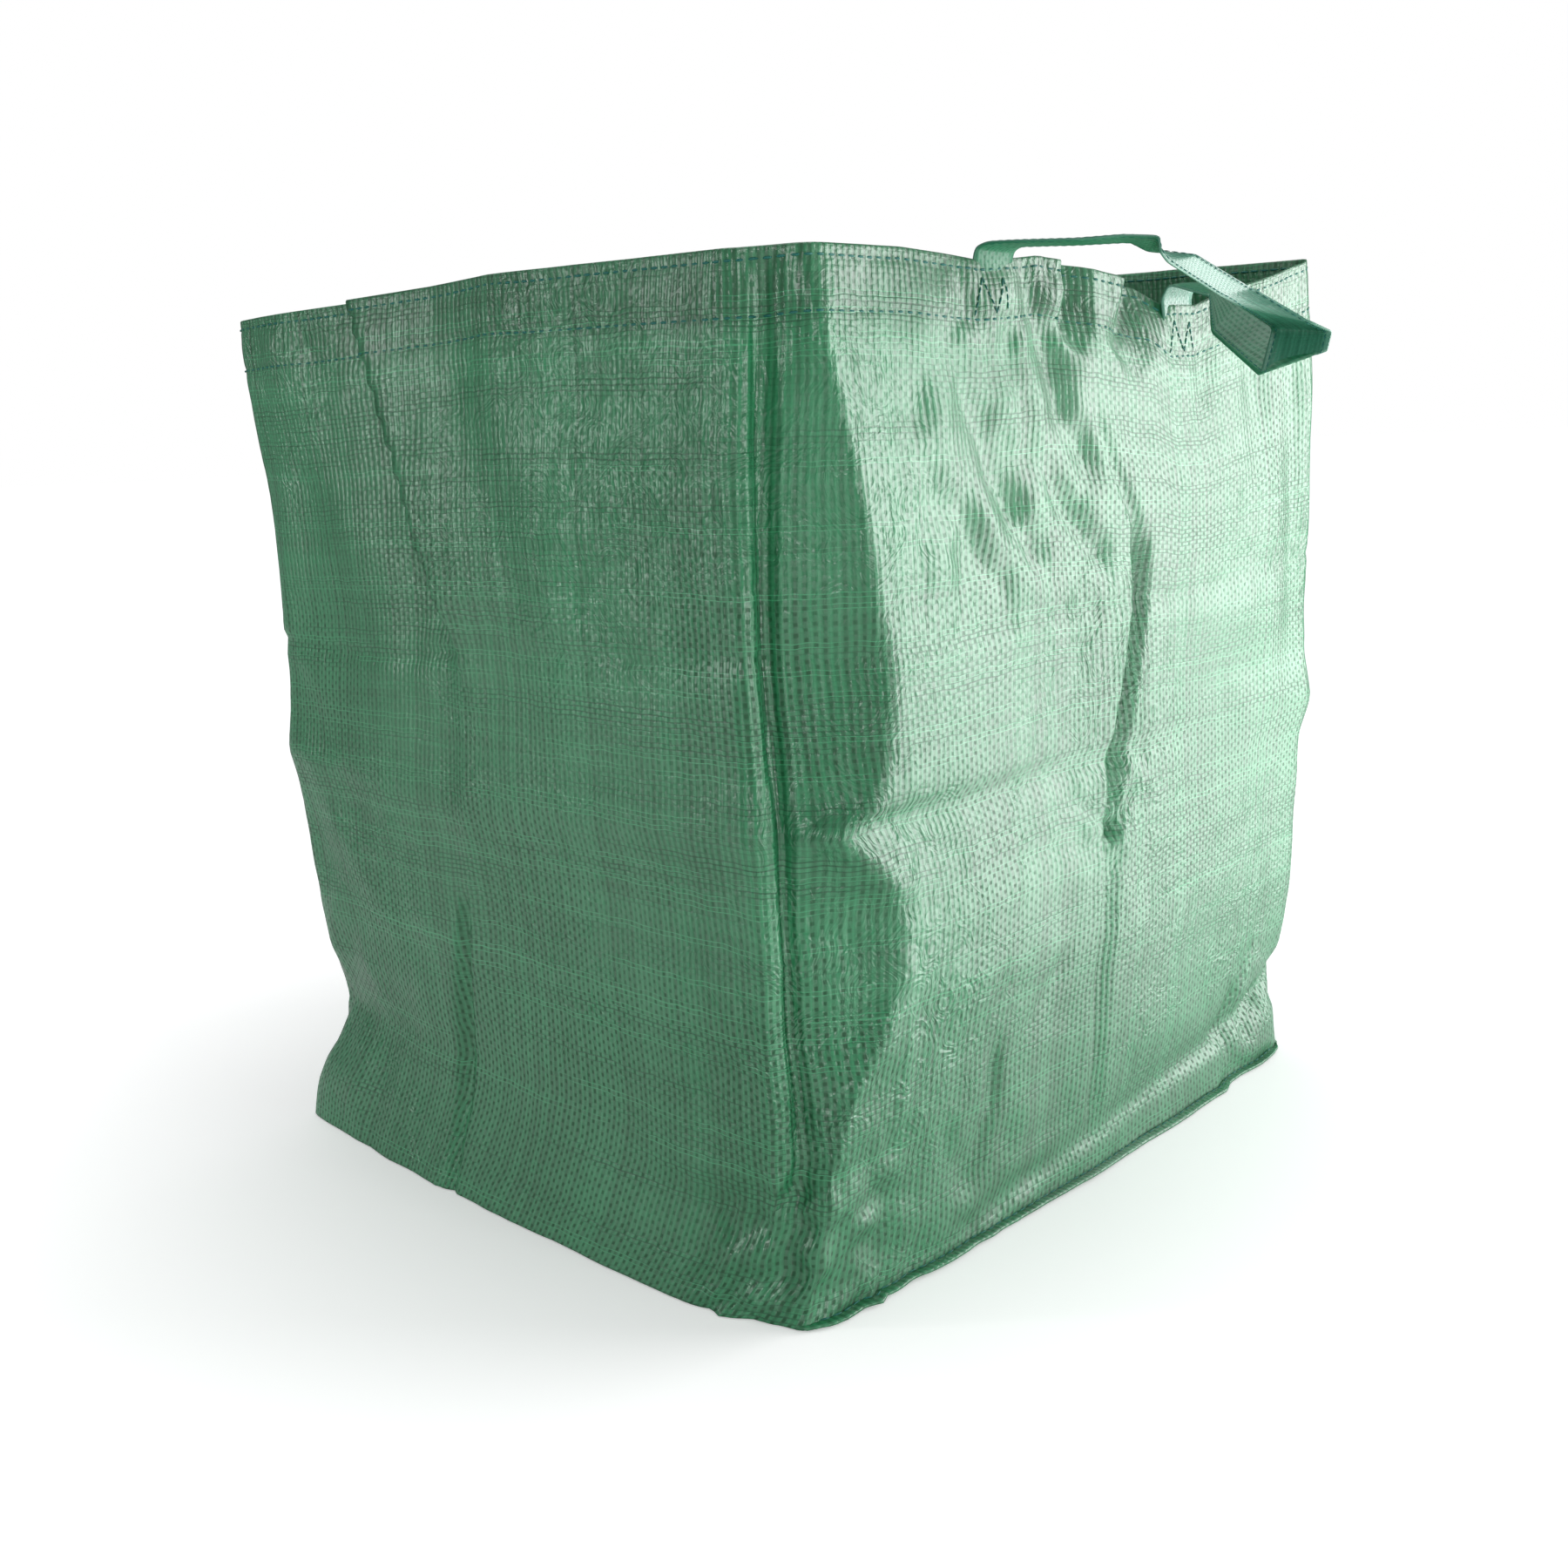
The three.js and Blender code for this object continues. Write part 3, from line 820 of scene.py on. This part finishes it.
def base_seam(side, cloth, thread):
    """The sewn edge of wall and base, which sticks out along the bottom of the front and back."""
    start, stop = SEAMS[side]
    s = np.linspace(start, stop, SEAM_COLUMNS)
    foot, normal = on_wall(s, np.full(SEAM_COLUMNS, SEAM_FOOT))
    reach = SEAM_REACH + wander(s, *SEAM_REACH_WANDER)
    reach = (reach * np.clip(np.minimum(s - start, stop - s) / SEAM_FADE, 0, 1))[:, None]
    lift = SEAM_LIFT + wander(s, *SEAM_LIFT_WANDER)
    rows = []
    for share, rise in SEAM_PROFILE:
        row = foot + normal * (share * reach)
        row[:, 2] = SEAM_ROOT + lift * rise
        rows.append(row)
    faces, corners = grid_faces(SEAM_COLUMNS, len(SEAM_PROFILE))
    uvs = [(s[j], 5.0 + SEAM_PROFILE[i][0] * SEAM_UV_WIDTH) for face in corners for j, i in face]
    name = f"{side}_base_seam_lip"
    lip = mesh_object(name, np.stack(rows, 1).reshape(-1, 3), faces, [cloth], uvs)
    thicken(lip, SEAM_THICK, offset=1.0)
    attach(lip, "bag")
    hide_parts(name)
    line = foot + normal * (SEAM_STITCH_SHARE * reach)
    line[:, 2] = rows[2][:, 2] + SEAM_STITCH_RISE
    run = lengths_along(line)
    up = np.tile([0.0, 0.0, 1.0], (4, 1))
    stitches = stitches_along(line, SEAM_STITCH, SEAM_STITCH_GAP, points=4, skip=2)
    runs = [(points_at(at, run, line), up) for at in stitches]
    bag_thread(f"{side}_base_seam_stitch", runs, thread, *SEAM_THREAD)


# ---- materials

class Nodes:
    """Short calls for building the nodes of a material or world."""

    def __init__(self, owner):
        self.owner = owner
        owner.use_nodes = True
        self.tree = owner.node_tree
        self.tree.nodes.clear()

    def add(self, kind, inputs=None, **settings):
        node = self.tree.nodes.new(kind)
        for key, value in settings.items():
            setattr(node, key, value)
        for key, value in (inputs or {}).items():
            if isinstance(value, bpy.types.NodeSocket):
                self.tree.links.new(value, node.inputs[key])
            else:
                node.inputs[key].default_value = value
        return node

    def math(self, operation, a, b=0.0, c=0.0, clamp=False):
        node = self.add("ShaderNodeMath", {0: a, 1: b, 2: c}, operation=operation, use_clamp=clamp)
        return node.outputs[0]

    def scaled(self, value, factor, plus=0.0):
        return self.math("MULTIPLY_ADD", value, factor, plus)

    def ramp(self, value, factor, plus):
        """scaled, held between 0 and 1."""
        return self.math("MULTIPLY_ADD", value, factor, plus, clamp=True)

    def centred(self, value):
        return self.math("SUBTRACT", value, 0.5)

    def product(self, first, *others):
        for other in others:
            first = self.math("MULTIPLY", first, other)
        return first

    def mix(self, share, a, b):
        """From colour a to colour b; a may be a socket."""
        a = a if isinstance(a, bpy.types.NodeSocket) else (*a, 1)
        node = self.add("ShaderNodeMix", {0: share, 6: a, 7: (*b, 1)}, data_type="RGBA", blend_type="MIX")
        return node.outputs[2]

    def bump(self, height, strength, distance):
        inputs = {"Height": height, "Strength": strength, "Distance": distance}
        return self.add("ShaderNodeBump", inputs).outputs[0]

    def noise(self, vector, scale, detail=2.0, roughness=0.5):
        node = self.add("ShaderNodeTexNoise",
                        {"Vector": vector, "Scale": scale, "Detail": detail, "Roughness": roughness})
        return node.outputs[0]

    def white(self, value):
        node = self.add("ShaderNodeTexWhiteNoise", {"W": value}, noise_dimensions="1D")
        return node.outputs[0]

    def vector(self, x, y, z=0.0):
        return self.add("ShaderNodeCombineXYZ", {0: x, 1: y, 2: z}).outputs[0]

    def place(self):
        return self.add("ShaderNodeTexCoord").outputs["Object"]

    def surface(self, inputs):
        shader = self.add("ShaderNodeBsdfPrincipled", inputs)
        self.add("ShaderNodeOutputMaterial", {"Surface": shader.outputs[0]})
        return self.owner


BASE_TONE = 0.34  # from 0 for a cloth's dark colour to 1 for its light one
GAP_DARKNESS = 0.30  # the colour between the tapes, as a share of the dark colour
GRAIN = 0.14  # how far the roughness changes from place to place


def weave_pattern(n, place, across, along):
    """Where the tapes, the gaps between them and their chance streaks are."""
    uv = n.add("ShaderNodeUVMap", uv_map="cloth").outputs[0]
    run_u, run_v, _ = n.add("ShaderNodeSeparateXYZ", {0: uv}).outputs
    sway = n.centred(n.noise(place, scale=8.0, detail=1.0))
    wobble = n.centred(n.noise(place, scale=60.0, detail=1.0))
    u = n.math("ADD", n.math("DIVIDE", run_u, across), n.scaled(sway, 3.0, n.scaled(wobble, 0.35)))
    v = n.math("ADD", n.math("DIVIDE", run_v, along), n.scaled(sway, 2.0, wobble))
    column, line = n.math("FLOOR", u), n.math("FLOOR", v)
    odd = n.math("FLOORED_MODULO", n.math("ADD", column, line), 2.0)
    off_u = n.math("ABSOLUTE", n.centred(n.math("FRACT", u)))
    off_v = n.math("ABSOLUTE", n.centred(n.math("FRACT", v)))
    pit = n.product(n.ramp(off_u, -5.5, 1.75), n.ramp(off_v, -5.0, 2.3), odd)
    per_line = n.white(n.math("ADD", line, 0.37))
    runs = n.noise(n.vector(n.scaled(run_u, 9.0), n.scaled(line, 3.7)), scale=1.0, detail=3.0, roughness=0.6)
    clusters = n.noise(n.vector(n.scaled(run_u, 2.5), n.scaled(run_v, 34.0)), scale=1.0, detail=1.0)
    streak = n.product(n.ramp(off_v, 9.0, -2.7), n.ramp(runs, 6.0, -2.3))
    # the gaps between the tapes show more towards the foot, so the cloth is darker towards the bottom
    more_at_foot = n.scaled(run_v, -2.4, -0.25)
    regions = n.ramp(n.noise(place, scale=9.0), 3.0, more_at_foot)
    return SimpleNamespace(
        run_u=run_u, run_v=run_v, runs=runs, pit=pit, seen_pit=n.product(pit, regions),
        rib=n.ramp(off_u, 4.2, -0.55), bar=n.ramp(off_v, -3.0, 1.45),
        per_column=n.white(column), per_line=per_line,
        dark_line=n.product(n.math("GREATER_THAN", per_line, 0.40), streak, n.ramp(clusters, 6.0, -2.3)),
        bright_line=n.product(n.math("LESS_THAN", per_line, 0.15), streak),
        hem=n.math("COMPARE", run_v, HEIGHT + HEM_REACH - HEM, HEM_REACH))


def weave_colour(n, place, weave, light, dark, streaks, contrast):
    tone = BASE_TONE
    for part, lightening in (
            (weave.rib, 0.30 * contrast), (weave.seen_pit, -0.42 * contrast),
            (n.centred(weave.per_column), 0.26), (n.centred(weave.per_line), 0.10 * streaks),
            (n.centred(weave.runs), 0.45 * streaks), (n.centred(n.noise(place, scale=7.0)), 0.45),
            (weave.hem, -0.19)):
        tone = n.scaled(part, lightening, tone)
    tone = n.ramp(weave.bright_line, 0.90 * streaks, tone)
    gap_colour = [GAP_DARKNESS * part for part in dark]
    lines = n.scaled(weave.dark_line, 0.52 * streaks)
    return n.mix(lines, n.mix(tone, dark, light), gap_colour)


def weave_height(n, place, weave, crumple):
    """The bump's height: the tapes, the film over them and small creases in patches."""
    film = n.noise(n.vector(n.scaled(weave.run_u, 300.0), n.scaled(weave.run_v, 90.0)), 1.0, 2.0, 0.6)
    shift = n.vector(n.noise(place, scale=13.0), n.noise(place, scale=17.0), 0.5)
    bent = n.add("ShaderNodeVectorMath", {0: place, 1: shift}, operation="ADD").outputs[0]
    cells = n.add("ShaderNodeTexVoronoi", {"Vector": bent, "Scale": 26.0, "Detail": 1.0}).outputs[0]
    creased = n.ramp(n.noise(place, scale=5.5, detail=1.0), 4.0, -1.7)
    height = 0.0
    for part, rise in ((weave.bar, 0.25), (weave.rib, 0.6), (weave.pit, -0.5), (film, 1.1),
                       (weave.dark_line, -0.5), (n.product(cells, creased), 4.5 * crumple)):
        height = n.scaled(part, rise, height)
    return height


def weave_material(name, light, dark, roughness=0.46, relief=0.00022, streaks=1.0, coat=0.50,
                   across=TAPE, along=WEFT, contrast=1.0, crumple=1.0):
    """Plain-woven flat plastic tapes under a thin glossy film."""
    n = Nodes(bpy.data.materials.new(name))
    place = n.place()
    weave = weave_pattern(n, place, across, along)
    rough = n.scaled(n.noise(place, scale=140.0, detail=3.0), GRAIN, roughness - GRAIN / 2)
    bumped = n.bump(weave_height(n, place, weave, crumple), strength=0.9, distance=relief)
    # the film does not reach into the gaps between the tapes
    film = n.scaled(n.math("MAXIMUM", weave.seen_pit, weave.dark_line), -0.85, 1.0)
    return n.surface({
        "Base Color": weave_colour(n, place, weave, light, dark, streaks, contrast),
        "Roughness": n.scaled(weave.pit, 0.16, rough), "Normal": bumped,
        "Specular IOR Level": 0.80, "Anisotropic": 0.75, "Anisotropic Rotation": 0.25,
        "Coat Weight": n.scaled(film, coat), "Coat Roughness": 0.22, "Coat Normal": bumped,
    })


def thread_material():
    n = Nodes(bpy.data.materials.new("thread"))
    place = n.place()
    twist = n.add("ShaderNodeTexWave", {"Vector": place, "Scale": 900.0, "Distortion": 2.0, "Detail": 1.0},
                  bands_direction="DIAGONAL").outputs[1]
    tone = n.scaled(n.noise(place, 40.0), 0.5, n.scaled(twist, 0.5))
    return n.surface({"Base Color": n.mix(tone, (0.002, 0.085, 0.066), (0.008, 0.190, 0.150)),
                      "Roughness": 0.55, "Normal": n.bump(twist, strength=0.5, distance=0.0002)})


def floor_material():
    """Pale matt floor that turns to plain white far from the bag, so that no horizon shows."""
    n = Nodes(bpy.data.materials.new("floor"))
    place = n.place()
    colour = n.mix(n.noise(place, 3.0), (0.91,) * 3, (0.93,) * 3)
    far = n.add("ShaderNodeVectorMath", {0: place}, operation="LENGTH").outputs[1]
    spread = n.ramp(far, 1.2, 0.15)
    faraway = n.ramp(far, 0.4, -0.5)
    strength = n.scaled(faraway, 0.4, n.scaled(spread, 0.52))
    seen = n.add("ShaderNodeLightPath").outputs["Is Camera Ray"]
    return n.surface({
        "Base Color": colour, "Roughness": 0.8, "Specular IOR Level": 0.1,
        "Emission Color": (1, 1, 1, 1), "Emission Strength": n.math("MULTIPLY", strength, seen),
    })


# ---- floor and light

FLOOR_SIZE = 60.0  # from the middle to each side
WORLD_TINT, WORLD_STRENGTH = (0.95, 0.98, 1.0, 1), 0.22
# Area lights: (name, place, target, width, height, power).
LIGHTS = [
    ("key_softbox", (1.72, -1.46, 0.78), (0.0, -0.2, 0.45), 1.8, 1.5, 48),
    ("low_softbox", (0.70, -0.85, 0.012), (0.70, -0.85, 1.0), 1.1, 0.8, 9),
    ("side_softbox", (-1.52, 1.00, 0.75), (-0.29, -0.10, 0.50), 0.14, 0.8, 4.5),
    ("corner_softbox", (-0.16, -2.10, 0.40), (-0.28, -0.24, 0.35), 0.34, 1.1, 10),
    ("fill_softbox", (-3.2, -1.6, 1.5), (0.0, 0.0, 0.3), 1.0, 1.2, 30),
    ("top_softbox", (0.3, 0.4, 2.8), (0.0, 0.0, 0.2), 2.0, 2.0, 26),
]


def area_light(name, place, target, width, height, power):
    data = bpy.data.lights.new(name, "AREA")
    data.shape = "RECTANGLE"
    data.size, data.size_y = width, height
    data.energy = power
    light = bpy.data.objects.new(name, data)
    light.location = place
    light.rotation_euler = (Vector(target) - Vector(place)).to_track_quat("-Z", "Y").to_euler()
    light.visible_camera = False
    bpy.context.collection.objects.link(light)


def make_world():
    """White where the camera sees it, and a soft pale light for everything else."""
    world = bpy.data.worlds.new("studio")
    bpy.context.scene.world = world
    n = Nodes(world)
    seen = n.add("ShaderNodeBackground", {0: (1, 1, 1, 1), 1: 1.0}).outputs[0]
    around = n.add("ShaderNodeBackground", {0: WORLD_TINT, 1: WORLD_STRENGTH}).outputs[0]
    rays = n.add("ShaderNodeLightPath").outputs["Is Camera Ray"]
    pick = n.add("ShaderNodeMixShader", {0: rays, 1: around, 2: seen}).outputs[0]
    n.add("ShaderNodeOutputWorld", {0: pick})


def make_studio():
    bpy.context.scene.view_settings.view_transform = "Standard"
    make_world()
    corners = [(x * FLOOR_SIZE, y * FLOOR_SIZE, 0) for x, y in ((-1, -1), (1, -1), (1, 1), (-1, 1))]
    floor = mesh_object("floor", corners, [(0, 1, 2, 3)], [floor_material()])
    for light in LIGHTS:
        area_light(*light)


# ---- everything together

make_camera()
make_studio()

cloth = weave_material("woven_fabric", (0.040, 0.300, 0.128), (0.002, 0.080, 0.024))
lining = weave_material("woven_fabric_inside", (0.055, 0.300, 0.120), (0.006, 0.105, 0.032),
                        roughness=0.5, coat=0.0, crumple=0.5)
strap_face = weave_material("strap_fabric", (0.085, 0.350, 0.225), (0.016, 0.120, 0.070),
                            roughness=0.42, relief=0.00012, streaks=0.3, across=0.0026, along=0.0019,
                            contrast=0.35, coat=0.35, crumple=0.2)
strap_back = weave_material("strap_fabric_inside", (0.040, 0.290, 0.145), (0.004, 0.110, 0.045),
                            roughness=0.5, relief=0.00016, streaks=0.4, across=0.0036, along=0.0026,
                            contrast=0.7, coat=0.0, crumple=0.2)
thread = thread_material()

bag_body(cloth, lining)
base_sheet(cloth)
stitch_row("upper_hem_stitch", UPPER_ROW, thread)
stitch_row("lower_hem_stitch", LOWER_ROW, thread)
for end in HANDLE_ENDS:
    handle_tack(end, thread)
for side, back in (("front", False), ("back", True)):
    handle_strap(side, back, strap_face, strap_back)
    strap_stitches(side, back, thread)
for side in SEAMS:
    base_seam(side, cloth, thread)
